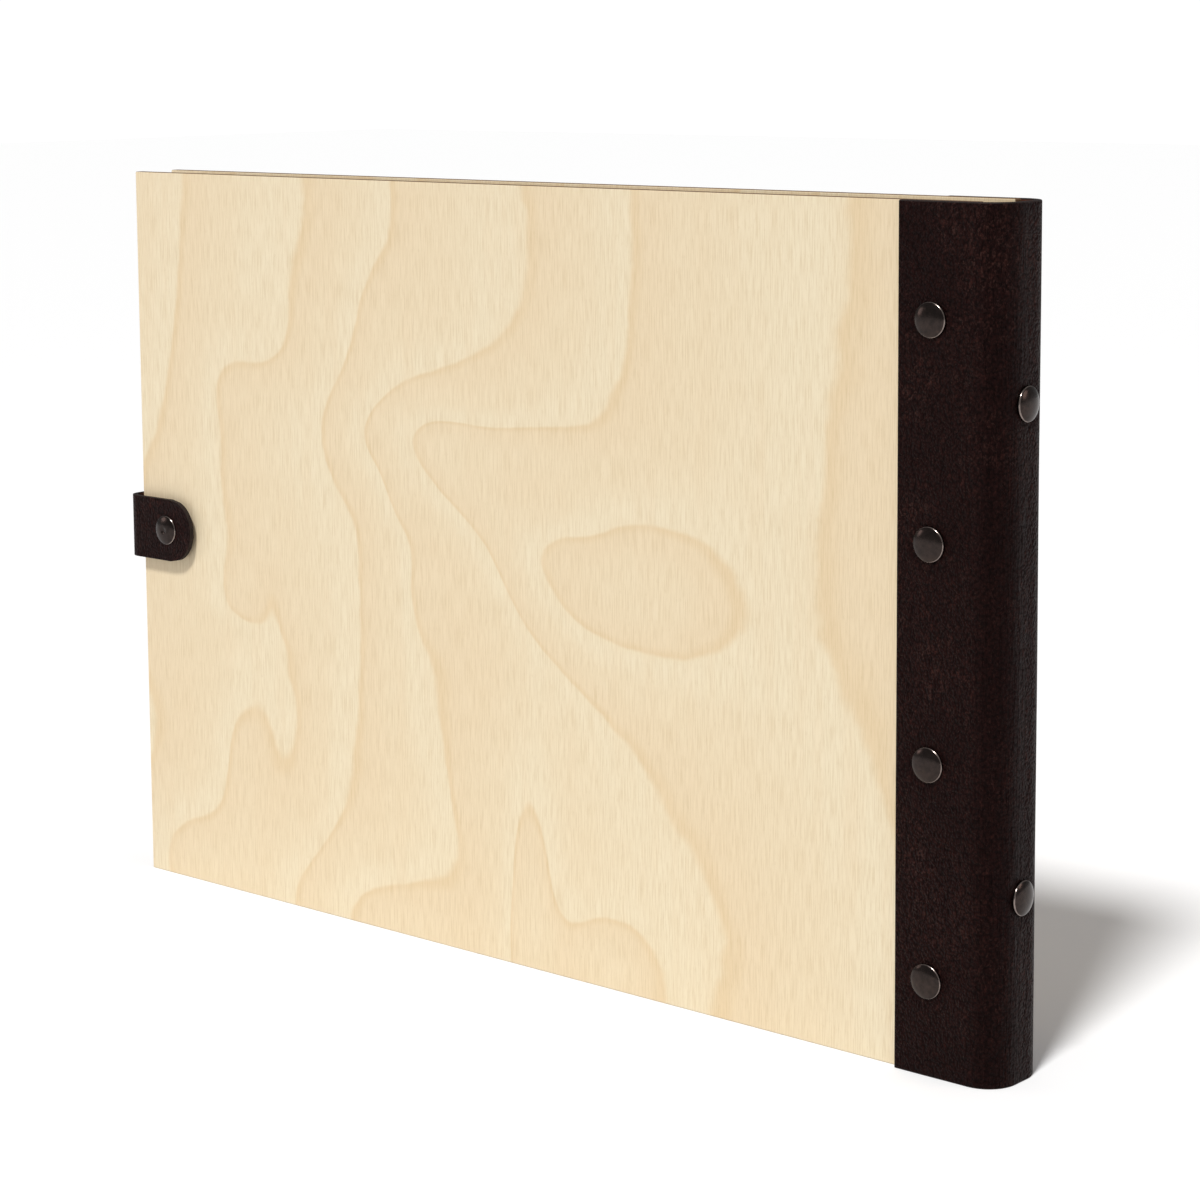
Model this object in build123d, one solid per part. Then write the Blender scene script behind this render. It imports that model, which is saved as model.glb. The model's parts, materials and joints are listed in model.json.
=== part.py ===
from build123d import *
import math
import os

# A landscape guest book that stands on its tail edges: two plywood covers on a
# leather spine, a two-ring mechanism inside the spine, loose leaves, and a
# leather strap that snaps shut round the fore-edge. Millimetres.
# While it is built, x runs from the fore-edge to the spine, y = 0 is the plane
# midway between the covers (front cover at -y), and z = 0 is the tail.

# --- covers ---
cover_height = 230.0
board_length = 322.4
board_thickness = 3.0
fore_edge_width = 18.2        # over both boards at the fore-edge
spine_edge_width = 20.4       # over both boards at the spine

# --- leather ---
leather = 1.8
flap_length = 22.9            # leather on each board, from the board's spine edge
spine_corner_radius = 9.0     # outside, where the spine turns
flap_hinge_gap = 1.2          # flap's end short of the hinge line
strip_hinge_gap = 0.1         # spine strip's edge beyond the hinge line

# --- cap rivets ---
rivet_cap_radius = 4.75
rivet_cap_height = 1.3
rivet_rim_height = 0.6
rivet_inner_radius = 4.4
rivet_inner_height = 1.0
rivet_post_radius = 1.5
rivet_hole_play = 0.1
rivet_set_in = 12.9           # from the board's spine edge
rivet_lowest_z = 25.6
rivet_top_margin = 30.4
rivet_count = 4

# --- ring mechanism ---
ring_mid_below_middle = 1.0   # centre of the mechanism below mid-height
ring_spacing = 80.0
spine_rivet_spacing = 129.0
spine_cap_radius = 4.75
ring_wire_radius = 0.8
ring_to_board = 1.15          # room for the half rings to swing open
ring_tip_gap = 0.1
plate_length = 152.0
plate_sheet = 0.6
plate_depth = 2.4             # web to the edges of the flanges
plate_lip = 0.65              # web beyond its ring slots
plate_to_leather = 0.2        # flanges to the curved inside of the spine
plate_slot_play = 0.5
blade_sheet = 0.6
blade_drop = 0.6              # below the plate's web
blade_side_play = 0.2
blade_end_to_rivet = 6.5
blade_mid_gap = 0.3

# --- leaves ---
leaf_fore_recess = 15.65      # leaves end this far inside the fore-edge
leaf_head_recess = 10.0       # and this far below the head and above the tail
sheet = 0.34
sheet_pitch = 0.4
leaf_mid_gap = 0.2            # innermost sheet to the middle plane
leaf_to_ring = 0.9            # outermost sheet to the ring's inside
leaf_to_cap = 1.1             # outermost sheet to the rivets' inner caps when open
leaf_hole_radius = 3.0
leaf_hole_set_out = 1.4       # hole's centre beyond the wire, where a leaf hangs
leaf_edge_gap = 0.2           # bound edge to the turning axis

# --- strap and snap ---
strap_width = 20.0
strap_leather = 1.6
strap_loop = 3.1              # fore-edge to the strap's inside
strap_tab_end = 25.8
strap_end_radius = 9.5
strap_back_end = 46.0
strap_bend_gap = 1.0          # from a bend's axis to the end of the side piece
strap_flat_gap = 0.9          # from a bend's axis to the end of a flat piece
strap_rivet_x = 32.0
snap_x = 14.3
snap_stand_off = 1.6          # board to the strap's inside
snap_cap_radius = 4.8
snap_play = 0.3
stud_flange = 0.3
stud_flange_radius = 4.0
stud_radius = 1.9
stud_height = 1.0
socket_radius = 4.4

# --- worked out ---
spine_edge_half = spine_edge_width / 2
lean = math.degrees(math.asin((spine_edge_width - fore_edge_width) / 2 / board_length))
hinge_x = board_length
hinge_y = spine_edge_half + leather / 2
rivet_x = board_length - rivet_set_in
rivet_pitch = (cover_height - rivet_lowest_z - rivet_top_margin) / (rivet_count - 1)
spine_width = spine_edge_width + 2 * leather
strip_x = hinge_x + strip_hinge_gap
spine_back_x = strip_x + spine_corner_radius
board_inner_half = spine_edge_half - board_thickness
ring_radius = board_inner_half - ring_to_board - ring_wire_radius
leaf_stack_half = ring_radius - ring_wire_radius - leaf_to_ring
sheets_per_group = int((leaf_stack_half - leaf_mid_gap) / sheet_pitch / 2)
turn_x = (hinge_x - leather / 2 - board_thickness - rivet_inner_height
          - leaf_stack_half - leaf_to_cap)
plate_half_width = ring_radius + ring_wire_radius + plate_slot_play + plate_lip
corner_reach = plate_half_width + plate_to_leather - (spine_width / 2 - spine_corner_radius)
plate_edge_x = strip_x + math.sqrt((spine_corner_radius - leather)**2 - corner_reach**2)
web_x = plate_edge_x - plate_depth
blade_x = web_x + plate_sheet + blade_drop
ring_mid = cover_height / 2 - ring_mid_below_middle
ring_heights = (ring_mid - ring_spacing / 2, ring_mid + ring_spacing / 2)
spine_rivet_heights = (ring_mid - spine_rivet_spacing / 2, ring_mid + spine_rivet_spacing / 2)
strap_mid_z = cover_height / 2
fore_x = -strap_loop - strap_leather
centre_x = (fore_x + spine_back_x + rivet_cap_height) / 2
FRONT, BACK = -1, 1


def lean_in(shape, side):
    # swing a flat cover's piece or place about its hinge, fore-edges together
    hinge = Pos(hinge_x, side * hinge_y, 0)
    return hinge * Rot(0, 0, side * lean) * hinge.inverse() * shape


def slab(x0, x1, y0, y1, z0, z1):
    low_y, high_y = min(y0, y1), max(y0, y1)
    centre = Pos((x0 + x1) / 2, (low_y + high_y) / 2, (z0 + z1) / 2)
    return centre * Box(x1 - x0, high_y - low_y, z1 - z0)


def along_y(x, y, z, side):
    # a place whose local +z points out of the book on this side
    return Pos(x, y, z) * Rot(-90 * side, 0, 0)


def rod(radius, length):
    return Cylinder(radius, length, align=(Align.CENTER, Align.CENTER, Align.MIN))


def rivet_heights():
    return [rivet_lowest_z + rivet_pitch * i for i in range(rivet_count)]


def cap(radius, height, rim):
    # low dome on a short rim, base on local z = 0
    rise = height - rim
    ball = (radius * radius + rise * rise) / (2 * rise)
    dome = Pos(0, 0, height - ball) * Sphere(ball)
    return rod(radius, height) & (dome + rod(radius, rim))


def post_and_inner_cap(length, inner_radius, inner_height):
    # post from local z = 0 inwards, with a flat cap on the inside
    post = Pos(0, 0, -length) * rod(rivet_post_radius, length)
    head = Pos(0, 0, -length - inner_height) * rod(inner_radius, inner_height)
    return post + head


def post_hole(length):
    return Pos(0, 0, -length) * rod(rivet_post_radius + rivet_hole_play, length)


def board(side):
    outer = side * spine_edge_half
    inner = side * board_inner_half
    panel = slab(0, board_length, outer, inner, 0, cover_height)
    for z in rivet_heights():
        panel -= along_y(rivet_x, outer, z, side) * post_hole(board_thickness)
    fastener_x = snap_x if side == FRONT else strap_rivet_x
    panel -= along_y(fastener_x, outer, strap_mid_z, side) * post_hole(board_thickness)
    return lean_in(panel, side)


def leather_flap(side):
    inner = side * spine_edge_half
    outer = side * (spine_edge_half + leather)
    cut_edge = board_length - flap_length
    flap = slab(cut_edge, hinge_x - flap_hinge_gap, inner, outer, 0, cover_height)
    for z in rivet_heights():
        flap -= along_y(rivet_x, outer, z, side) * post_hole(leather)
    return lean_in(flap, side)


def spine_profile(inset):
    # rounded U, open towards the leaves
    radius = spine_corner_radius - inset
    deep = 4 * spine_corner_radius
    right = spine_back_x - inset
    outline = RectangleRounded(deep, spine_width - 2 * inset, radius)
    return Pos(right - deep / 2, 0) * outline


def spine_strip():
    beyond = Pos(strip_x + spine_corner_radius, 0) * Rectangle(
        2 * spine_corner_radius, 2 * spine_width)
    section = (spine_profile(0) - spine_profile(leather)) & beyond
    strip = extrude(section, cover_height)
    for z in spine_rivet_heights:
        strip -= Pos(spine_back_x, 0, z) * Rot(0, 90, 0) * post_hole(leather)
    return strip


def rivet_caps(side):
    face = side * (spine_edge_half + leather)
    one = cap(rivet_cap_radius, rivet_cap_height, rivet_rim_height)
    return [lean_in(along_y(rivet_x, face, z, side) * one, side) for z in rivet_heights()]


def rivet_backs(side):
    face = side * (spine_edge_half + leather)
    one = post_and_inner_cap(leather + board_thickness, rivet_inner_radius, rivet_inner_height)
    return [lean_in(along_y(rivet_x, face, z, side) * one, side) for z in rivet_heights()]


def spine_rivet_caps():
    one = cap(spine_cap_radius, rivet_cap_height, rivet_rim_height)
    return [Pos(spine_back_x, 0, z) * Rot(0, 90, 0) * one for z in spine_rivet_heights]


def spine_rivet_posts():
    # from the outer cap through the leather and the plate's web, headed over it
    length = spine_back_x - web_x
    one = post_and_inner_cap(length, 1.6 * rivet_post_radius, plate_sheet)
    return [Pos(spine_back_x, 0, z) * Rot(0, 90, 0) * one for z in spine_rivet_heights]


def ring_plate():
    web_back = web_x + plate_sheet
    bottom, top = ring_mid - plate_length / 2, ring_mid + plate_length / 2
    plate = slab(web_x, web_back, -plate_half_width, plate_half_width, bottom, top)
    for side in (FRONT, BACK):
        outer = side * plate_half_width
        inner = side * (plate_half_width - plate_sheet)
        plate += slab(web_back, plate_edge_x, inner, outer, bottom, top)
        for z in ring_heights:
            slot = ring_wire_radius + plate_slot_play
            y = side * ring_radius
            plate -= slab(web_x, web_back, y - slot, y + slot, z - slot, z + slot)
    for z in spine_rivet_heights:
        hole = rod(rivet_post_radius + rivet_hole_play, plate_sheet)
        plate -= Pos(web_x, 0, z) * Rot(0, 90, 0) * hole
    return plate


def ring_blade(side):
    inner = side * blade_mid_gap / 2
    outer = side * (plate_half_width - plate_sheet - blade_side_play)
    bottom = spine_rivet_heights[0] + blade_end_to_rivet
    top = spine_rivet_heights[1] - blade_end_to_rivet
    return slab(blade_x, blade_x + blade_sheet, inner, outer, bottom, top)


def half_ring(side, z):
    # leg from the blade, then a quarter turn to the tip at the middle plane
    leg_end = (turn_x, side * ring_radius, z)
    leg = Line((blade_x, side * ring_radius, z), leg_end)
    tip_angle = math.degrees(ring_tip_gap / 2 / ring_radius)
    sweep_angle = side * (90 - tip_angle)
    quarter = CenterArc((turn_x, 0, z), ring_radius, 90 * side, sweep_angle)
    section = Plane(leg @ 0, z_dir=leg % 0) * Circle(ring_wire_radius)
    return sweep(section, path=leg + quarter)


def leaf_group(side, group):
    # group 0 lies next to the cover, group 1 next to the middle plane
    hole_x = turn_x - (ring_radius + math.sqrt(ring_radius**2 - leaf_stack_half**2)) / 2
    hole_x -= leaf_hole_set_out
    bound_x = turn_x - leaf_edge_gap
    bottom, top = leaf_head_recess, cover_height - leaf_head_recess
    first = leaf_mid_gap + (1 - group) * sheets_per_group * sheet_pitch
    leaves = []
    for i in range(sheets_per_group):
        near = side * (first + i * sheet_pitch)
        far = near + side * sheet
        leaf = slab(leaf_fore_recess, bound_x, near, far, bottom, top)
        for z in ring_heights:
            leaf -= along_y(hole_x, near, z, side) * rod(leaf_hole_radius, sheet)
        leaves.append(leaf)
    return leaves


def strap_z():
    return strap_mid_z - strap_width / 2, strap_mid_z + strap_width / 2


def rounded_end(x, y0, y1):
    # strap end with two rounded corners, as a tool to intersect with
    z0, z1 = strap_z()
    tool = slab(x - 2 * board_length, x, y0, y1, z0, z1)
    ends = tool.edges().filter_by(Axis.Y).group_by(Axis.X)[-1]
    return fillet(ends, strap_end_radius)


def strap_back():
    inner = spine_edge_half
    outer = inner + strap_leather
    z0, z1 = strap_z()
    start = -strap_loop - strap_leather / 2 + strap_flat_gap
    strap = slab(start, strap_back_end, inner, outer, z0, z1)
    strap = strap & rounded_end(strap_back_end, inner, outer)
    strap -= along_y(strap_rivet_x, outer, strap_mid_z, BACK) * post_hole(strap_leather)
    return lean_in(strap, BACK)


def bend_axis(side):
    # middle of the strap's thickness at its two bends, before the covers lean in
    off_board = spine_edge_half + strap_leather / 2
    if side == FRONT:
        off_board += snap_stand_off
    return -strap_loop - strap_leather / 2, side * off_board


def strap_side():
    ends = []
    for side in (FRONT, BACK):
        x, y = bend_axis(side)
        axis = lean_in(Pos(x, y, 0), side).position
        ends.append(axis.Y - side * strap_bend_gap)
    z0, z1 = strap_z()
    return slab(fore_x, -strap_loop, ends[0], ends[1], z0, z1)


def strap_tab():
    inner = -(spine_edge_half + snap_stand_off)
    outer = inner - strap_leather
    z0, z1 = strap_z()
    start = bend_axis(FRONT)[0] + strap_flat_gap
    tab = slab(start, strap_tab_end, inner, outer, z0, z1)
    tab = tab & rounded_end(strap_tab_end, outer, inner)
    tab -= along_y(snap_x, outer, strap_mid_z, FRONT) * post_hole(strap_leather)
    return lean_in(tab, FRONT)


def strap_rivet_cap():
    face = spine_edge_half + strap_leather
    one = cap(rivet_cap_radius, rivet_cap_height, rivet_rim_height)
    return lean_in(along_y(strap_rivet_x, face, strap_mid_z, BACK) * one, BACK)


def strap_rivet_back():
    face = spine_edge_half + strap_leather
    length = strap_leather + board_thickness
    one = post_and_inner_cap(length, rivet_inner_radius, rivet_inner_height)
    return lean_in(along_y(strap_rivet_x, face, strap_mid_z, BACK) * one, BACK)


def snap_cap():
    # outer cap with a shank through the strap
    face = -(spine_edge_half + snap_stand_off + strap_leather)
    shank = Pos(0, 0, -strap_leather) * rod(rivet_post_radius, strap_leather)
    one = cap(snap_cap_radius, rivet_cap_height, rivet_rim_height) + shank
    return lean_in(along_y(snap_x, face, strap_mid_z, FRONT) * one, FRONT)


def snap_socket():
    face = -(spine_edge_half + snap_stand_off)
    depth = snap_stand_off - stud_flange - snap_play
    ring = rod(socket_radius, depth) - rod(stud_radius + snap_play, depth)
    ring = Pos(0, 0, -depth) * ring
    return lean_in(along_y(snap_x, face, strap_mid_z, FRONT) * ring, FRONT)


def snap_stud():
    stud = rod(stud_flange_radius, stud_flange) + rod(stud_radius, stud_flange + stud_height)
    return lean_in(along_y(snap_x, -spine_edge_half, strap_mid_z, FRONT) * stud, FRONT)


def snap_stud_back():
    one = post_and_inner_cap(board_thickness, rivet_inner_radius, rivet_inner_height)
    return lean_in(along_y(snap_x, -spine_edge_half, strap_mid_z, FRONT) * one, FRONT)


def write(node, pieces):
    # the finished book's origin is the middle of its base
    if not isinstance(pieces, list):
        pieces = [pieces]
    solids = [solid for piece in pieces for solid in piece.solids()]
    placed = [Pos(-centre_x, 0, 0) * solid for solid in solids]
    whole = placed[0] if len(placed) == 1 else Compound(children=placed)
    export_step(whole, f"parts/{node}.step")


os.makedirs("parts", exist_ok=True)
write("leather_spine_strip", spine_strip())
write("spine_rivet_caps", spine_rivet_caps())
write("spine_rivet_posts", spine_rivet_posts())
write("ring_plate", ring_plate())
for name, side in (("front", FRONT), ("back", BACK)):
    write(f"{name}_board", board(side))
    write(f"leather_{name}_flap", leather_flap(side))
    write(f"{name}_rivet_caps", rivet_caps(side))
    write(f"{name}_rivet_backs", rivet_backs(side))
    write(f"ring_blade_{name}", ring_blade(side))
    write(f"half_rings_{name}", [half_ring(side, z) for z in ring_heights])
    write(f"{name}_leaves_outer", leaf_group(side, 0))
    write(f"{name}_leaves_inner", leaf_group(side, 1))
write("strap_back", strap_back())
write("strap_side", strap_side())
write("strap_tab", strap_tab())
write("strap_rivet_cap", strap_rivet_cap())
write("strap_rivet_back", strap_rivet_back())
write("snap_cap", snap_cap())
write("snap_socket", snap_socket())
write("snap_stud", snap_stud())
write("snap_stud_back", snap_stud_back())
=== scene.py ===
import json
import math

import bmesh
import bpy
from mathutils import Matrix, Vector, noise


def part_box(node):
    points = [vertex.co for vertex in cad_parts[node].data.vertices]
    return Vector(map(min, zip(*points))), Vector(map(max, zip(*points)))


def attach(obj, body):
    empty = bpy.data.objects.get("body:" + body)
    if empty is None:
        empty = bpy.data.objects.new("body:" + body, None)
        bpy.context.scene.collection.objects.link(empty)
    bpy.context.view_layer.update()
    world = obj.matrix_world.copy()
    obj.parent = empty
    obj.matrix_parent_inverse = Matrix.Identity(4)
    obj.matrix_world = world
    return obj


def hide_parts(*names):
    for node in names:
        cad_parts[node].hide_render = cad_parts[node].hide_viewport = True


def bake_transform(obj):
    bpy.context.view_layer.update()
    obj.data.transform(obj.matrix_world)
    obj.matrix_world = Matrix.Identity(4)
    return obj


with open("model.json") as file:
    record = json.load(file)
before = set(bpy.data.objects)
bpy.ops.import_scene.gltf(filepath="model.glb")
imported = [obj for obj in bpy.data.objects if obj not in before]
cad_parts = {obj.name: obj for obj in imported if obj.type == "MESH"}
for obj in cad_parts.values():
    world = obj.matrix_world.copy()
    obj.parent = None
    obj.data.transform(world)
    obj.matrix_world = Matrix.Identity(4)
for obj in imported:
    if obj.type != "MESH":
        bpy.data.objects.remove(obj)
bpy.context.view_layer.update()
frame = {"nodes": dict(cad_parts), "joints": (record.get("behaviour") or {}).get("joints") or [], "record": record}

# sizes read from the frame, in metres

mm = 0.001
joints = {j["name"]: j for j in frame["joints"]}
front, back = -1, 1
sideName = {front: "front", back: "back"}

boardLow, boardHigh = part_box("front_board")
stripLow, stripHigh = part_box("leather_spine_strip")
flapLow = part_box("leather_front_flap")[0]
bookHeight = boardHigh.z
boardThick = 3.0 * mm
leatherThick = 1.8 * mm
hinge = {side: Vector(joints[f"{sideName[side]}_cover_hinge"]["pos_m"]) for side in (front, back)}
boardLength = hinge[front].x - boardLow.x
lean = math.asin((boardHigh.y - boardLow.y - boardThick) / boardLength)  # covers close towards the fore-edge
strapLow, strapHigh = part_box("strap_tab")


def leanTurn(side):
    # swings a flat cover's point about its hinge line to where the cover really lies
    place = Matrix.Translation((hinge[side].x, hinge[side].y, 0))
    return place @ Matrix.Rotation(side * lean, 4, "Z") @ place.inverted()


def outerFace(side):
    return hinge[side].y - side * leatherThick / 2


# small helpers for meshes and for routes seen in plan

def finishPiece(name, bm, materials, replaces=(), smooth=True):
    mesh = bpy.data.meshes.new(name)
    bm.to_mesh(mesh)
    bm.free()
    piece = bpy.data.objects.new(name, mesh)
    bpy.context.scene.collection.objects.link(piece)
    for material in materials:
        mesh.materials.append(material)
    for face in mesh.polygons:
        face.use_smooth = smooth
    if replaces:
        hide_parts(*replaces)
    return piece


def smoothStep(t):
    t = min(1, max(0, t))
    return t * t * (3 - 2 * t)


def roundedRoute(corners, radius, step=0.25 * mm):
    # plan points along straight runs joined by arcs
    route = [Vector(corners[0])]
    for i in range(1, len(corners) - 1):
        before = (Vector(corners[i - 1]) - Vector(corners[i])).normalized()
        after = (Vector(corners[i + 1]) - Vector(corners[i])).normalized()
        half = before.angle(after) / 2
        cut = radius / math.tan(half)
        centre = Vector(corners[i]) + (before + after).normalized() * (radius / math.sin(half))
        first = Vector(corners[i]) + before * cut - centre
        turn = (math.pi - 2 * half) * (1 if before.cross(after) < 0 else -1)
        count = max(2, round(abs(turn) * radius / step))
        for k in range(count + 1):
            spot = first.copy()
            spot.rotate(Matrix.Rotation(turn * k / count, 2))
            route.append(centre + spot)
    route.append(Vector(corners[-1]))
    return route


def routeReader(route):
    # gives the plan point and the outward direction at a distance along the route
    lengths = [0.0]
    for a, b in zip(route, route[1:]):
        lengths.append(lengths[-1] + (b - a).length)

    def read(s):
        s = min(max(s, 0), lengths[-1])
        low, high = 0, len(lengths) - 2
        while low < high:
            i = (low + high + 1) // 2
            if lengths[i] <= s:
                low = i
            else:
                high = i - 1
        a, b = route[low], route[low + 1]
        share = (s - lengths[low]) / (lengths[low + 1] - lengths[low])
        before = route[max(low - 1, 0)]
        after = route[min(low + 2, len(route) - 1)]
        along = ((b - before).normalized() * (1 - share) + (after - a).normalized() * share).normalized()
        return a.lerp(b, share), Vector((along.y, -along.x))

    return read, lengths[-1]


# material helpers

def srgb(r, g, b):
    def channel(v):
        v /= 255
        return v / 12.92 if v <= 0.04045 else ((v + 0.055) / 1.055) ** 2.4
    return channel(r), channel(g), channel(b), 1


class Nodes:
    def __init__(self, name):
        self.material = bpy.data.materials.new(name)
        self.material.use_nodes = True
        self.tree = self.material.node_tree
        self.shader = self.tree.nodes["Principled BSDF"]

    def add(self, kind, **settings):
        node = self.tree.nodes.new(kind)
        for key, value in settings.items():
            setattr(node, key, value)
        return node

    def link(self, a, b):
        self.tree.links.new(a, b)

    def feed(self, socket, value):
        if isinstance(value, bpy.types.NodeSocket):
            self.link(value, socket)
        else:
            socket.default_value = value

    def math(self, operation, a, b=None):
        node = self.add("ShaderNodeMath", operation=operation)
        self.feed(node.inputs[0], a)
        if b is not None:
            self.feed(node.inputs[1], b)
        return node.outputs[0]

    def mapping(self, vector, location=(0, 0, 0), rotation=(0, 0, 0), scale=(1, 1, 1), kind="POINT"):
        node = self.add("ShaderNodeMapping", vector_type=kind)
        self.link(vector, node.inputs["Vector"])
        node.inputs["Location"].default_value = location
        node.inputs["Rotation"].default_value = rotation
        node.inputs["Scale"].default_value = scale
        return node.outputs[0]

    def noise(self, vector, scale, detail=2, roughness=0.5, distortion=0):
        node = self.add("ShaderNodeTexNoise")
        self.link(vector, node.inputs["Vector"])
        node.inputs["Scale"].default_value = scale
        node.inputs["Detail"].default_value = detail
        node.inputs["Roughness"].default_value = roughness
        node.inputs["Distortion"].default_value = distortion
        return node.outputs["Fac"]

    def range(self, value, low, high, toLow=0.0, toHigh=1.0):
        node = self.add("ShaderNodeMapRange", interpolation_type="SMOOTHSTEP")
        self.link(value, node.inputs["Value"])
        for key, number in (("From Min", low), ("From Max", high), ("To Min", toLow), ("To Max", toHigh)):
            node.inputs[key].default_value = number
        return node.outputs["Result"]

    def ramp(self, value, stops):
        node = self.add("ShaderNodeValToRGB")
        ramp = node.color_ramp
        ramp.interpolation = "EASE"
        for place, colour in stops[1:-1]:
            ramp.elements.new(place).color = colour
        for element, (place, colour) in ((ramp.elements[0], stops[0]), (ramp.elements[-1], stops[-1])):
            element.position = place
            element.color = colour
        self.link(value, node.inputs["Fac"])
        return node.outputs["Color"]

    def mix(self, share, a, b, blend="MIX"):
        node = self.add("ShaderNodeMix", data_type="RGBA", blend_type=blend)
        self.feed(node.inputs["Factor"], share)
        self.feed(node.inputs["A"], a)
        self.feed(node.inputs["B"], b)
        return node.outputs["Result"]

    def bump(self, height, distance, strength=1.0, normal=None):
        node = self.add("ShaderNodeBump")
        node.inputs["Strength"].default_value = strength
        node.inputs["Distance"].default_value = distance
        self.link(height, node.inputs["Height"])
        if normal is not None:
            self.link(normal, node.inputs["Normal"])
        return node.outputs[0]

    def put(self, **values):
        for key, value in values.items():
            socket = self.shader.inputs[key.replace("_", " ")]
            self.feed(socket, value)
        return self.material


# birch plywood

plywood = {
    "ringSpacing": 44.0,      # mm of board between growth-ring lines
    "ringStart": 0.43,
    "wander": 3.0,            # mm that the lines wander
    "wanderScale": 0.05,
    "backShift": (330.0, 236.0),          # the back board shows the same figure turned half round, mm
    "streakScale": (0.16, 1, 0.012),      # per mm across, through and along the grain
    "fibreScale": (2.9, 1, 0.11),
    "poreScale": (3.6, 1, 0.45),
    "endGrainScale": (1.6, 3.0, 1.6),
    "coreHalf": 0.54,         # mm from the middle to the glue lines
    "line": srgb(214, 193, 158),
    "peach": srgb(218, 200, 169),
    "plain": srgb(219, 203, 173),
    "pale": srgb(221, 208, 180),
    "pore": srgb(192, 169, 130),
    "scorched": srgb(128, 98, 66),
    "core": srgb(96, 70, 46),
    "glueLine": srgb(58, 40, 26),
    "roughness": 0.55,
}

# hills that push the ring lines aside: centre x, z, half sizes x, z, tilt, push (mm, degrees)
figureHills = [
    (128, 156, 34, 13, 4, 62),      # long tongue
    (160, 128, 30, 10, -42, 32),
    (171, 156, 15, 9, 0, 11),
    (150, 165, 27, 6, 0, -17),
    (138, 136, 11, 8, -35, 14),
    (118, 133, 8, 9, 0, 18),
    (127, 110, 8, 12, 0, 14),
    (48, 135, 30, 40, 0, 30),       # broad swell by the fore-edge
    (-4, 92, 18, 40, 0, 30),
    (14, 160, 10, 24, 0, -5),
    (59, 181, 11, 10, -25, -16),    # shoulder above the swell
    (40, 165, 9, 9, 0, 9),
    (107, 190, 13, 14, 0, 17),
    (82, 151, 9, 12, 0, -11),
    (320, 120, 50, 260, 0, -57),    # lines spread towards the spine
    (284, 140, 14, 42, 0, 9),
    (202, 119, 29, 19, -8, 63),     # eye
    (180, 128, 8, 6, 0, 10),
    (240, 15, 38, 40, 0, -26),
    (100, 0, 32, 18, 0, 62),        # sweep at the tail
    (16, 4, 24, 20, 0, 60),
    (127, 90, 18, 36, 0, 25),
    (70, 62, 8, 15, 0, -10),        # peak and lobe low by the fore-edge
    (45, 44, 10, 16, 0, 25),
    (44, 97, 8, 8, 0, 13),
    (50, 82, 14, 5, 0, -9),
    (61, 97, 4, 9, 0, -9),
    (92, 46, 12, 22, 0, 12),
    (148, 50, 10, 16, 0, 16),
    (168, 14, 8, 38, 0, 50),        # narrow flame at the tail
    (196, 6, 14, 12, 0, 40),
    (175, 215, 22, 28, 0, -14),
    (88, 215, 18, 28, 0, -14),
]


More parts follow.
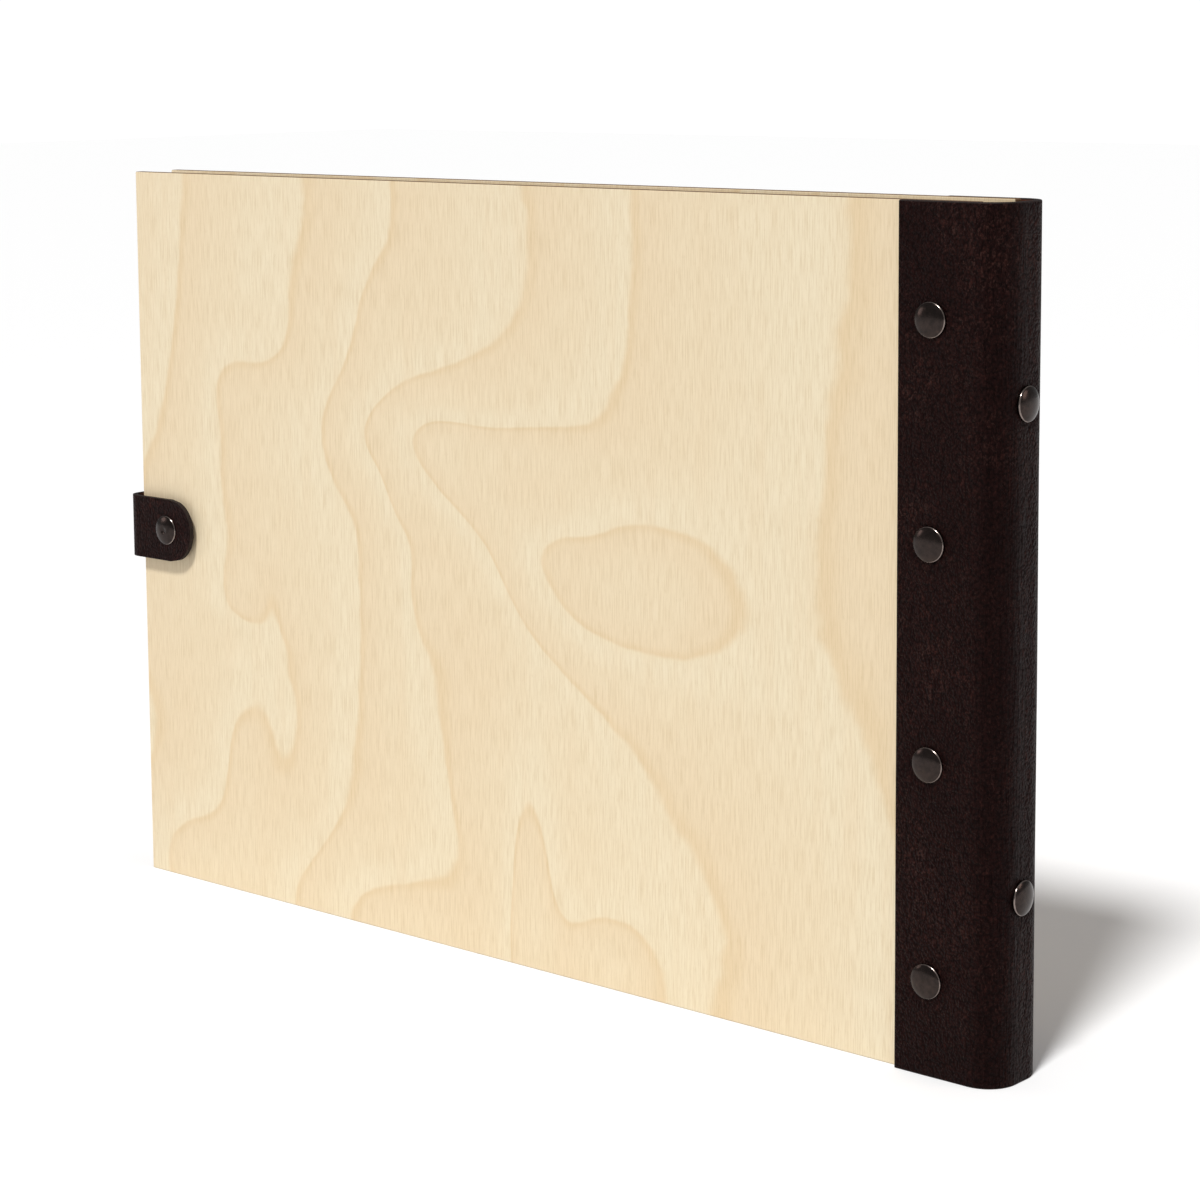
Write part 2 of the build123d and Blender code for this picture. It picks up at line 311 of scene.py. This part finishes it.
def plywoodMaterial(name, side):
    n = Nodes(name)
    spot = n.add("ShaderNodeTexCoord").outputs["Object"]
    # board coordinates in mm: x from the fore-edge, y from the middle of the board, z from the tail
    middle = Vector((boardLow.x, outerFace(side) - side * boardThick / 2, 0))
    turned = leanTurn(side).inverted()
    flat = n.mapping(spot, turned.translation, turned.to_euler(), (1, 1, 1))
    board = n.mapping(flat, -middle * 1000, (0, 0, 0), (1000, 1000, 1000))
    split = n.add("ShaderNodeSeparateXYZ")
    n.link(board, split.inputs[0])
    x, depth, z = split.outputs
    if side == back:
        x = n.math("SUBTRACT", plywood["backShift"][0], x)
        z = n.math("SUBTRACT", plywood["backShift"][1], z)
    face = n.add("ShaderNodeCombineXYZ")
    n.link(x, face.inputs[0])
    n.link(z, face.inputs[2])
    face = face.outputs[0]
    push = n.math("SUBTRACT", n.noise(face, plywood["wanderScale"], 4, 0.6), 0.5)
    push = n.math("MULTIPLY", push, plywood["wander"] * 2)
    for cx, cz, sx, sz, tilt, height in figureHills:
        near = n.mapping(face, (cx, 0, cz), (0, -math.radians(tilt), 0), (sx, 1, sz), "TEXTURE")
        reach = n.add("ShaderNodeVectorMath", operation="DOT_PRODUCT")
        n.link(near, reach.inputs[0])
        n.link(near, reach.inputs[1])
        hill = n.math("EXPONENT", n.math("MULTIPLY", reach.outputs["Value"], -0.5))
        push = n.math("ADD", push, n.math("MULTIPLY", hill, float(height)))
    rings = n.math("DIVIDE", n.math("ADD", x, push), plywood["ringSpacing"])
    rings = n.math("ADD", rings, plywood["ringStart"])
    phase = n.math("FRACT", rings)
    colour = n.ramp(phase, [(0.0, plywood["line"]), (0.09, plywood["peach"]), (0.42, plywood["plain"]),
                            (0.86, plywood["pale"]), (0.95, plywood["pale"]), (1.0, plywood["line"])])
    # broad soft streaks, fine fibres and short open pores, all along the grain
    streaks = n.noise(n.mapping(face, scale=plywood["streakScale"]), 1.0, 3)
    colour = n.mix(n.range(streaks, 0.42, 0.75, 0, 0.45), colour, plywood["peach"])
    fibre = n.noise(n.mapping(face, scale=plywood["fibreScale"]), 1.0, 3, 0.6)
    colour = n.mix(n.range(fibre, 0.40, 0.68, 0, 0.46), colour, plywood["pore"])
    pores = n.noise(n.mapping(face, scale=plywood["poreScale"]), 1.0, 1)
    poreMask = n.range(pores, 0.62, 0.74)
    colour = n.mix(n.math("MULTIPLY", poreMask, 0.3), colour, plywood["pore"])
    # the laser-cut edges are scorched, and show the cross ply between its glue lines
    offMiddle = n.math("ABSOLUTE", depth)
    endGrain = n.noise(n.mapping(board, scale=plywood["endGrainScale"]), 1.0, 3)
    scorched = n.mix(n.range(endGrain, 0.35, 0.65), plywood["core"], plywood["scorched"])
    core = n.range(offMiddle, plywood["coreHalf"] + 0.02, plywood["coreHalf"] - 0.06, 0, 0.6)
    scorched = n.mix(core, scorched, plywood["core"])
    glue = n.math("ABSOLUTE", n.math("SUBTRACT", offMiddle, plywood["coreHalf"]))
    glue = n.range(glue, 0.09, 0.02, 0, 0.7)
    scorched = n.mix(glue, scorched, plywood["glueLine"])
    colour = n.mix(n.range(offMiddle, 1.44, 1.32), colour, scorched)
    height = n.math("SUBTRACT", fibre, poreMask)
    n.put(Base_Color=colour, Roughness=plywood["roughness"], Specular_IOR_Level=0.35,
          Normal=n.bump(height, 0.00003, 0.6))
    return n.material


# leather

leather = {
    "dark": (0.0028, 0.0008, 0.0008, 1),
    "brown": (0.0075, 0.0020, 0.0017, 1),
    "worn": (0.0300, 0.0098, 0.0076, 1),
    "sheen": (1.0, 0.62, 0.60, 1),
    "creaseShade": 0.35,           # painted shade: how dark the creases between pebbles are painted
    "grain": 1150.0,          # pebbles per metre
    "warp": 420,              # how finely and how far the pebbles are pushed about
    "warpReach": 0.9 * mm,
    "mottle": 420,
    "broad": 26,
    "fine": 2600,
    "slant": -38,             # degrees
    "grainDepth": 0.00045,
    "creaseDepth": 0.00070,
    "wrinkle": 330.0,         # wrinkles per metre, between groups of pebbles
    "wrinkleDepth": 0.00085,
    "ridgeHighlight": (0.0520, 0.0250, 0.0200, 1),  # painted highlight along the wrinkle ridges
    "ridgeHighlightShare": 0.55,
    "gloss": 0.08,
    "fleshNap": 900,          # the suede inside
    "fleshDark": srgb(58, 30, 22),
    "fleshPale": srgb(92, 52, 38),
    "cutLayers": 1800,        # the cut edges
    "cutDark": srgb(16, 9, 8),
    "cutPale": srgb(38, 21, 17),
}


def leatherMaterial(name, grainShare=1.0, creaseFrom=None):
    n = Nodes(name)
    uv = n.add("ShaderNodeTexCoord").outputs["UV"]
    warp = n.add("ShaderNodeTexNoise")
    n.link(uv, warp.inputs["Vector"])
    warp.inputs["Scale"].default_value = leather["warp"]
    shifted = n.add("ShaderNodeVectorMath", operation="MULTIPLY_ADD")
    n.link(warp.outputs["Color"], shifted.inputs[0])
    shifted.inputs[1].default_value = (leather["warpReach"], leather["warpReach"], 0)
    n.link(uv, shifted.inputs[2])
    pebble = n.add("ShaderNodeTexVoronoi", feature="SMOOTH_F1", voronoi_dimensions="2D")
    pebble.inputs["Scale"].default_value = leather["grain"]
    pebble.inputs["Smoothness"].default_value = 0.35
    n.link(shifted.outputs[0], pebble.inputs["Vector"])
    grain = n.math("SUBTRACT", 1.0, pebble.outputs["Distance"])
    mottle = n.noise(n.mapping(uv, scale=(1.25, 0.8, 1)), leather["mottle"], 6, 0.7)
    broad = n.noise(uv, leather["broad"], 3, 0.55)
    colour = n.ramp(n.math("ADD", n.math("MULTIPLY", mottle, 0.75), n.math("MULTIPLY", broad, 0.25)),
                    [(0.34, leather["dark"]), (0.52, leather["brown"]), (0.68, leather["worn"])])
    slanted = n.mapping(uv, rotation=(0, 0, math.radians(leather["slant"])), scale=(1.0, 0.55, 1))
    # painted highlight: a lighter colour along the slanted wrinkle ridges, stronger where the broad noise is high
    highlightRidges = n.noise(slanted, leather["wrinkle"] * 1.7, 2, 0.5, 0.8)
    highlightRidges = n.math("ABSOLUTE", n.math("SUBTRACT", highlightRidges, 0.5))
    paintedHighlight = n.math("MULTIPLY", n.range(highlightRidges, 0.03, 0.0), n.range(broad, 0.42, 0.62, 0.25, 1.0))
    paintedHighlight = n.math("MULTIPLY", paintedHighlight, leather["ridgeHighlightShare"] * grainShare)
    colour = n.mix(paintedHighlight, colour, leather["ridgeHighlight"])
    # painted shade: the colour is darkened in the hollows between the pebbles
    creaseShade = n.range(grain, 0.3, 0.7, leather["creaseShade"], 1.0)
    creaseShadeGrey = n.add("ShaderNodeCombineColor")
    for socket in creaseShadeGrey.inputs:
        n.link(creaseShade, socket)
    colour = n.mix(1.0, colour, creaseShadeGrey.outputs[0], "MULTIPLY")
    normal = n.bump(grain, leather["grainDepth"] * grainShare, 0.75)
    wrinkle = n.math("ABSOLUTE", n.math("SUBTRACT", n.noise(slanted, leather["wrinkle"], 3, 0.55, 0.6), 0.5))
    wrinkle = n.range(wrinkle, 0.0, 0.09)
    normal = n.bump(wrinkle, leather["wrinkleDepth"] * grainShare, 0.45, normal)
    fine = n.noise(uv, leather["fine"], 2)
    normal = n.bump(fine, 0.00006, 0.5, normal)
    if creaseFrom is not None:
        # long soft creases run up the spine where the leather turns
        low, high = creaseFrom
        split = n.add("ShaderNodeSeparateXYZ")
        n.link(uv, split.inputs[0])
        turning = n.math("MULTIPLY", n.range(split.outputs[0], low, low + 0.004),
                         n.range(split.outputs[0], high, high - 0.004))
        creases = n.noise(n.mapping(uv, scale=(900, 55, 1)), 1.0, 4, 0.6, 0.4)
        creases = n.math("MULTIPLY", n.range(creases, 0.36, 0.64), turning)
        normal = n.bump(creases, leather["creaseDepth"], 0.8, normal)
    rough = n.math("ADD", n.range(mottle, 0.3, 0.7, 0.42, 0.56), n.range(grain, 0.2, 0.7, 0.12, 0.0))
    n.put(Base_Color=colour, Roughness=rough, Specular_IOR_Level=leather["gloss"],
          Specular_Tint=leather["sheen"], Normal=normal)
    return n.material


def suedeMaterial(name):
    n = Nodes(name)
    uv = n.add("ShaderNodeTexCoord").outputs["UV"]
    nap = n.noise(uv, leather["fleshNap"], 4, 0.7)
    colour = n.ramp(nap, [(0.3, leather["fleshDark"]), (0.7, leather["fleshPale"])])
    n.put(Base_Color=colour, Roughness=0.92, Specular_IOR_Level=0.2, Normal=n.bump(nap, 0.0002, 0.6))
    return n.material


def cutEdgeMaterial(name):
    n = Nodes(name)
    spot = n.add("ShaderNodeTexCoord").outputs["Object"]
    layers = n.noise(spot, leather["cutLayers"], 3)
    colour = n.ramp(layers, [(0.35, leather["cutDark"]), (0.7, leather["cutPale"])])
    n.put(Base_Color=colour, Roughness=0.7, Specular_IOR_Level=0.3, Normal=n.bump(layers, 0.0001, 0.5))
    return n.material


# metals and paper

capMetal = {
    "dark": [(0.030, 0.024, 0.022, 1), (0.042, 0.032, 0.029, 1), (0.074, 0.051, 0.041, 1)],
    # bright rim tones: worn bronze, and also a painted highlight line round each cap
    "worn": [(0.17, 0.14, 0.125, 1), (0.26, 0.21, 0.19, 1), (0.34, 0.28, 0.25, 1)],
    "patina": 700,
    "smudge": 1500,
    "roughness": (0.18, 0.24),
}
ringMetal = {
    "brush": (4000, 4000, 120),
    "dull": srgb(176, 176, 174),
    "bright": srgb(206, 205, 200),
    "roughness": (0.2, 0.32),
}
card = {
    "fibre": 1600,
    "cloud": 45,
    "shade": srgb(228, 221, 204),
    "light": srgb(236, 230, 215),
}


def bronzeMaterial(name, tones):
    n = Nodes(name)
    spot = n.add("ShaderNodeTexCoord").outputs["Object"]
    patina = n.noise(spot, capMetal["patina"], 4, 0.6)
    colour = n.ramp(patina, list(zip((0.3, 0.6, 0.85), capMetal[tones])))
    rough = n.range(n.noise(spot, capMetal["smudge"], 3), 0.3, 0.7, *capMetal["roughness"])
    n.put(Base_Color=colour, Metallic=1.0, Roughness=rough, Normal=n.bump(patina, 0.00001, 0.3))
    return n.material


def nickelMaterial(name):
    n = Nodes(name)
    spot = n.add("ShaderNodeTexCoord").outputs["Object"]
    brushed = n.noise(n.mapping(spot, scale=ringMetal["brush"]), 1.0, 3)
    colour = n.ramp(brushed, [(0.3, ringMetal["dull"]), (0.7, ringMetal["bright"])])
    n.put(Base_Color=colour, Metallic=1.0, Roughness=n.range(brushed, 0.3, 0.7, *ringMetal["roughness"]),
          Normal=n.bump(brushed, 0.00001, 0.3))
    return n.material


def paperMaterial(name):
    n = Nodes(name)
    spot = n.add("ShaderNodeTexCoord").outputs["Object"]
    fibre = n.noise(spot, card["fibre"], 4, 0.7)
    cloud = n.noise(spot, card["cloud"], 3)
    colour = n.ramp(n.math("ADD", n.math("MULTIPLY", fibre, 0.75), n.math("MULTIPLY", cloud, 0.25)),
                    [(0.35, card["shade"]), (0.65, card["light"])])
    n.put(Base_Color=colour, Roughness=0.8, Specular_IOR_Level=0.25, Normal=n.bump(fibre, 0.00003, 0.5))
    return n.material


# camera, floor and light, placed first

view = {
    "place": (0.5684, -0.6361, 0.2710),
    "yaw": 40.54, "pitch": 6.95, "roll": -0.40,
    "lens": 88.59,
    "shiftY": -0.1667,
}


def makeCamera():
    yaw, pitch, roll = (math.radians(view[key]) for key in ("yaw", "pitch", "roll"))
    ahead = Vector((-math.sin(yaw) * math.cos(pitch), math.cos(yaw) * math.cos(pitch), -math.sin(pitch)))
    right = Vector((math.cos(yaw), math.sin(yaw), 0))
    up = right.cross(ahead)
    turnedRight = right * math.cos(roll) + up * math.sin(roll)
    turnedUp = up * math.cos(roll) - right * math.sin(roll)
    camera = bpy.data.objects.new("camera", bpy.data.cameras.new("camera"))
    bpy.context.scene.collection.objects.link(camera)
    turn = Matrix((turnedRight, turnedUp, -ahead)).transposed().to_4x4()
    camera.matrix_world = Matrix.Translation(view["place"]) @ turn
    camera.data.lens = view["lens"]
    camera.data.sensor_width = 36
    camera.data.shift_y = view["shiftY"]
    camera.data.clip_start = 0.01
    bpy.context.scene.camera = camera


studio = {
    "backdrop": 1.05,
    "fill": 0.30,
    "floor": (0.95, 0.95, 0.95, 1),
    "floorHalf": 6,
    "sun": {"from": (0.25, -0.97, 1.45), "strength": 2.95, "angle": 10},
    "rim": {"place": (1.25, 0.55, 0.55), "size": 0.5, "power": 2.0, "colour": (1.0, 0.80, 0.74)},
    "side": {"place": (-1.1, -0.75, 0.45), "size": 0.4, "power": 1.2, "colour": (1.0, 0.84, 0.80)},
}


def addLamp(name, light, place, target):
    lamp = bpy.data.objects.new(name, light)
    lamp.location = place
    lamp.rotation_euler = (Vector(target) - Vector(place)).to_track_quat("-Z", "Y").to_euler()
    bpy.context.scene.collection.objects.link(lamp)


def makeStudio():
    world = bpy.data.worlds.new("studio")
    bpy.context.scene.world = world
    world.use_nodes = True
    nodes = world.node_tree.nodes
    links = world.node_tree.links
    fill = nodes["Background"]
    fill.inputs["Color"].default_value = (1, 1, 1, 1)
    fill.inputs["Strength"].default_value = studio["fill"]
    backdrop = nodes.new("ShaderNodeBackground")
    backdrop.inputs["Color"].default_value = (1, 1, 1, 1)
    backdrop.inputs["Strength"].default_value = studio["backdrop"]
    seen = nodes.new("ShaderNodeLightPath")
    either = nodes.new("ShaderNodeMixShader")
    links.new(seen.outputs["Is Camera Ray"], either.inputs["Fac"])
    links.new(fill.outputs[0], either.inputs[1])
    links.new(backdrop.outputs[0], either.inputs[2])
    links.new(either.outputs[0], nodes["World Output"].inputs["Surface"])
    sun = bpy.data.lights.new("sun", "SUN")
    sun.energy = studio["sun"]["strength"]
    sun.angle = math.radians(studio["sun"]["angle"])
    addLamp("sun", sun, studio["sun"]["from"], (0, 0, 0))
    for name, aim in (("rim", (0.16, 0, 0.12)), ("side", (-0.16, 0, 0.12))):
        light = bpy.data.lights.new(name, "AREA")
        light.shape = "DISK"
        light.size = studio[name]["size"]
        light.energy = studio[name]["power"]
        light.color = studio[name]["colour"]
        addLamp(name, light, studio[name]["place"], aim)
    bm = bmesh.new()
    bmesh.ops.create_grid(bm, x_segments=2, y_segments=2, size=studio["floorHalf"])
    mesh = bpy.data.meshes.new("floor")
    bm.to_mesh(mesh)
    bm.free()
    floor = bpy.data.objects.new("floor", mesh)
    bpy.context.scene.collection.objects.link(floor)
    n = Nodes("paleFloor")
    n.put(Base_Color=studio["floor"], Roughness=0.85, Specular_IOR_Level=0.1)
    floor.data.materials.append(n.material)
    bpy.context.scene.view_settings.view_transform = "Standard"


makeCamera()
makeStudio()
print("stage: camera, floor and lights")


# covers

cover = {"edgeRound": 0.35 * mm}


def makeBoard(side):
    name = f"{sideName[side]}Board"
    bm = bmesh.new()
    bmesh.ops.create_cube(bm, size=1)
    bmesh.ops.scale(bm, vec=(boardLength, boardThick, bookHeight), verts=bm.verts)
    middle = (hinge[side].x - boardLength / 2, outerFace(side) - side * boardThick / 2, bookHeight / 2)
    bmesh.ops.translate(bm, vec=middle, verts=bm.verts)
    bmesh.ops.bevel(bm, geom=bm.edges[:], offset=cover["edgeRound"], offset_type="OFFSET", affect="EDGES",
                    segments=3, profile=0.5, material=-1)
    bmesh.ops.transform(bm, matrix=leanTurn(side), verts=bm.verts)
    board = finishPiece(name, bm, [plywoodMaterial(f"birchPly_{name}", side)],
                        [f"{sideName[side]}_board"], smooth=False)
    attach(board, f"{sideName[side]}_cover")
    return board


for side in (front, back):
    makeBoard(side)
print("stage: plywood covers")


# leather wrap: two halves that meet on the middle of the spine

wrap = {
    "columns": 56, "rows": 156,
    "edgeRound": 0.3 * mm,
    "dent": 0.28 * mm,        # how far the rivets pull the leather in
    "dentReach": 2.2 * mm,
    "swell": 0.10 * mm,       # slow unevenness of the hide
    "bendTo": 4.0 * mm,       # the bend is over this far past the hinge line
}
capRadius = (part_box("spine_rivet_caps")[1].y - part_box("spine_rivet_caps")[0].y) / 2


def capHeights(node, count):
    low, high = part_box(node)
    first = low.z + capRadius
    step = (high.z - low.z - 2 * capRadius) / (count - 1)
    return [first + step * i for i in range(count)]


grainLeather = leatherMaterial("brownLeatherWrap", creaseFrom=(0.024, 0.041))
strapLeather = leatherMaterial("brownLeatherStrap", grainShare=0.35)
suede = suedeMaterial("leatherFleshSide")
cutEdge = cutEdgeMaterial("leatherCutEdge")


def bendGrid(columns, rows, length, height, place, firstS=0.0):
    # a flat sheet laid out in metres, then put in place point by point; its UVs keep the flat layout
    bm = bmesh.new()
    uvLayer = bm.loops.layers.uv.new("flat")
    bmesh.ops.create_grid(bm, x_segments=columns, y_segments=rows, size=0.5)
    for face in bm.faces:
        for loop in face.loops:
            loop[uvLayer].uv = (firstS + (loop.vert.co.x + 0.5) * length, (loop.vert.co.y + 0.5) * height)
    for vert in bm.verts:
        vert.co = place((vert.co.x + 0.5) * length, (vert.co.y + 0.5) * height)
    bm.normal_update()
    return bm


def thicken(bm, thick, edgeRound, seam):
    # grows the sheet inwards to a leather's thickness and rounds its cut edges, but not the butt joint
    outer = set(bm.faces)
    bmesh.ops.solidify(bm, geom=bm.faces[:], thickness=thick)
    bm.normal_update()
    outerVerts = {v for f in outer for v in f.verts}
    for face in bm.faces:
        onOuter = sum(v in outerVerts for v in face.verts)
        face.material_index = {0: 1, len(face.verts): 0}.get(onOuter, 2)
        face.smooth = True
    rims = [f for f in bm.faces if f.material_index == 2]
    seamFaces = [f for f in rims if all(seam(v.co) for v in f.verts)]
    seamEdges = {e for f in seamFaces for e in f.edges}
    corners = {e for f in rims if f not in seamFaces for e in f.edges
               if e.calc_face_angle(0) > math.radians(50) and e not in seamEdges}
    for edge in seamEdges:
        edge.smooth = False
    bmesh.ops.bevel(bm, geom=list(corners), offset=edgeRound, offset_type="OFFSET", affect="EDGES",
                    segments=2, profile=0.5, material=2, clamp_overlap=True)
    bmesh.ops.recalc_face_normals(bm, faces=bm.faces[:])
    for vert in bm.verts:
        vert.co.z = min(bookHeight, max(0, vert.co.z))


def makeWrap(side):
    spineOut = stripHigh.x
    radius = stripHigh.x - stripLow.x
    faceY = outerFace(side) + side * leatherThick
    turn = leanTurn(side)
    cut = turn @ Vector((flapLow.x, faceY, 0))
    bend = Vector((spineOut, faceY))
    corners = [cut.to_2d(), bend, Vector((spineOut, 0))]
    if side == back:
        corners.reverse()
    read, length = routeReader(roundedRoute(corners, radius))
    rivetX = (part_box("front_rivet_caps")[0].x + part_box("front_rivet_caps")[1].x) / 2
    fromCut = rivetX - flapLow.x
    rivetS = fromCut if side == front else length - fromCut
    spineS = length if side == front else 0
    dents = [(rivetS, z) for z in capHeights("front_rivet_caps", 4)]
    dents += [(spineS, z) for z in capHeights("spine_rivet_caps", 2)]

    def place(s, z):
        spot, out = read(s)
        push = wrap["swell"] * noise.noise(Vector((s * 60, z * 22, side * 3.1)))
        if side == back:
            fromMiddle = s
        else:
            fromMiddle = length - s
        push *= smoothStep(fromMiddle / (4 * mm))
        pull = 0
        for ds, dz in dents:
            away = math.hypot(s - ds, z - dz) - capRadius
            pull = max(pull, 1 - smoothStep(away / wrap["dentReach"]))
        push -= wrap["dent"] * pull
        return Vector((spot.x + out.x * push, spot.y + out.y * push, z))

    bm = bendGrid(wrap["columns"], wrap["rows"], length, bookHeight, place, 0 if side == front else length)
    thicken(bm, leatherThick, wrap["edgeRound"], lambda spot: abs(spot.y) < 1e-5)
    name = f"{sideName[side]}LeatherWrap"
    nodes = ["leather_front_flap", "leather_spine_strip"] if side == front else ["leather_back_flap"]
    piece = finishPiece(name, bm, [grainLeather, suede, cutEdge], nodes)
    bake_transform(piece)
    return piece


for side in (front, back):
    makeWrap(side)
print("stage: leather wrap")


# strap: two halves that meet on the fore-edge

strap = {
    "thick": 1.6 * mm,
    "frontBend": 5.0 * mm,    # the front turn is looser than the back one
    "backBend": 3.8 * mm,
    "endRadius": 9.5 * mm,
    "endRun": 12 * mm,
    "columns": 70, "rows": 28,
    "edgeRound": 0.4 * mm,
    # where each hinge bend begins and ends, from its axis (x, y)
    "backReach": ((3.4 * mm, 0), (-0.5 * mm, -3.3 * mm)),
    "frontReach": ((-0.5 * mm, 3.3 * mm), (4.8 * mm, -1.2 * mm)),
}


def endInset(z, low, high):
    # how far the rounded end falls short of a square one at this height
    radius = strap["endRadius"]
    off = abs(z - (low + high) / 2) - ((high - low) / 2 - radius)
    if off <= 0:
        return 0
    return radius - math.sqrt(max(0, radius * radius - off * off))


def makeStrapHalf(name, corners, bendRadius, roundedFirst, nodes):
    read, length = routeReader(roundedRoute(corners, bendRadius))
    low, high = strapLow.z, strapHigh.z
    run = strap["endRun"]

    def place(s, z):
        inset = endInset(low + z, low, high)
        fromEnd = s if roundedFirst else length - s
        if fromEnd < run:
            fromEnd = inset + fromEnd * (run - inset) / run
        along = fromEnd if roundedFirst else length - fromEnd
        spot = read(along)[0]
        return Vector((spot.x, spot.y, low + z))

    firstS = 0.1 if roundedFirst else 0.1 + 2 * length
    bm = bendGrid(strap["columns"], strap["rows"], length, high - low, place, firstS)
    thicken(bm, strap["thick"], strap["edgeRound"], lambda spot: abs(spot.y - midY) < 1e-6)
    piece = finishPiece(name, bm, [strapLeather, suede, cutEdge], nodes)
    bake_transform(piece)
    return piece


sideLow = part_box("strap_side")[0]
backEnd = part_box("strap_back")[1].x
tabEnd = strapHigh.x
foreX = sideLow.x
foldBack = Vector(joints["strap_side_fold"]["pos_m"])
foldFront = Vector(joints["strap_tab_fold"]["pos_m"])
midY = (foldBack.y + foldFront.y) / 2
half = strap["thick"] / 2


def strapEnd(fold, side, endX):
    # the strap's outside at its end, in line with the leaning cover
    slope = math.tan(side * lean)
    return Vector((endX, fold.y + side * half + (endX - fold.x) * slope))


makeStrapHalf("strapBackHalf",
              [strapEnd(foldBack, back, backEnd), Vector((foreX, foldBack.y + half)), Vector((foreX, midY))],
              strap["backBend"], True, ["strap_back", "strap_side"])
makeStrapHalf("strapFrontHalf",
              [Vector((foreX, midY)), Vector((foreX, foldFront.y - half)),
               strapEnd(foldFront, front, tabEnd)],
              strap["frontBend"], False, ["strap_tab"])
print("stage: strap")


# rivet caps and the snap

cap = {
    "steps": 56,
    "skirt": 0.35 * mm,       # the rim reaches into the dent in the leather
    # radius and height up the dome, mm
    "dome": [(4.75, 0.0), (4.75, 0.16), (4.66, 0.34), (4.52, 0.46), (4.30, 0.58), (3.7, 0.82),
             (2.8, 1.05), (1.7, 1.22), (0.8, 1.28)],
    "rimWearAndHighlightFrom": 4.52,         # the patina has worn off the rim outside this radius, mm; the bright rim is also a painted highlight
    "crown": 1.30,            # height at the centre, mm
    "snapDimple": [(0.85, 1.12), (0.6, 1.02)],
}
bronze = bronzeMaterial("antiqueBronze", "dark")
bronzeRimWearAndHighlight = bronzeMaterial("antiqueBronzeRimWearAndHighlight", "worn")


def addCap(bm, matrix, dimple=False):
    # half outline of the dome, spun round its own axis
    outline = [(cap["dome"][0][0], -cap["skirt"] / mm)] + cap["dome"]
    crown = cap["crown"]
    if dimple:
        outline = outline[:-1] + [(1.25, 1.25)] + cap["snapDimple"]
        crown = outline[-1][1]
    verts = [bm.verts.new((r * mm, 0, h * mm)) for r, h in outline]
    verts.append(bm.verts.new((0, 0, crown * mm)))
    edges = [bm.edges.new(pair) for pair in zip(verts, verts[1:])]
    bmesh.ops.spin(bm, geom=verts + edges, cent=(0, 0, 0), axis=(0, 0, 1), angle=math.tau,
                   steps=cap["steps"], use_merge=True)
    fresh = [v for v in bm.verts if not v.tag]
    bmesh.ops.remove_doubles(bm, verts=fresh, dist=0.002 * mm)
    fresh = [v for v in bm.verts if not v.tag]
    faces = list({f for v in fresh for f in v.link_faces})
    bmesh.ops.recalc_face_normals(bm, faces=faces)
    for face in faces:
        # rim faces get the bright bronze: wear, and also a painted highlight
        spot = face.calc_center_median()
        onRim = cap["rimWearAndHighlightFrom"] * mm < math.hypot(spot.x, spot.y) and spot.z > 0.1 * mm
        face.material_index = 1 if onRim else 0
    bmesh.ops.transform(bm, matrix=matrix, verts=fresh)
    for v in fresh:
        v.tag = True


def capMatrix(centre, outward):
    return Matrix.Translation(centre) @ Vector(outward).to_track_quat("Z", "Y").to_matrix().to_4x4()


def makeCaps(name, node, body, places, outward, dimple=False):
    bm = bmesh.new()
    for centre in places:
        addCap(bm, capMatrix(centre, outward), dimple)
    piece = finishPiece(name, bm, [bronze, bronzeRimWearAndHighlight], [node])
    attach(piece, body)
    return piece


def coverOut(side):
    return leanTurn(side).to_3x3() @ Vector((0, side, 0))


for side in (front, back):
    node = f"{sideName[side]}_rivet_caps"
    low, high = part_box(node)
    base = leanTurn(side) @ Vector(((low.x + high.x) / 2, outerFace(side) + side * leatherThick, 0))
    places = [(base.x, base.y, z) for z in capHeights(node, 4)]
    makeCaps(f"{sideName[side]}RivetCaps", node, f"{sideName[side]}_cover", places, coverOut(side))
spinePlaces = [(stripHigh.x, 0, z) for z in capHeights("spine_rivet_caps", 2)]
makeCaps("spineRivetCaps", "spine_rivet_caps", "spine", spinePlaces, (1, 0, 0))
low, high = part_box("strap_rivet_cap")
makeCaps("strapRivetCap", "strap_rivet_cap", "back_cover",
         [((low.x + high.x) / 2, strapEnd(foldBack, back, (low.x + high.x) / 2).y, (low.z + high.z) / 2)],
         coverOut(back))
low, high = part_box("snap_cap")
makeCaps("snapCap", "snap_cap", "strap_tab",
         [((low.x + high.x) / 2, strapEnd(foldFront, front, (low.x + high.x) / 2).y, (low.z + high.z) / 2)],
         coverOut(front), dimple=True)
print("stage: caps")


# finishes on the pieces that keep their CAD shape

nickel = nickelMaterial("nickelPlate")
paper = paperMaterial("ivoryCard")
slotFinish = {"dark_bronze": bronze, "ring_steel": nickel, "paper": paper}
slotOf = {part["node"]: part["material_slot"] for part in frame["record"]["subparts"]}
for node, piece in frame["nodes"].items():
    finish = slotFinish.get(slotOf[node])
    if finish and not piece.hide_render:
        piece.data.materials.clear()
        piece.data.materials.append(finish)
print("stage: finishes")
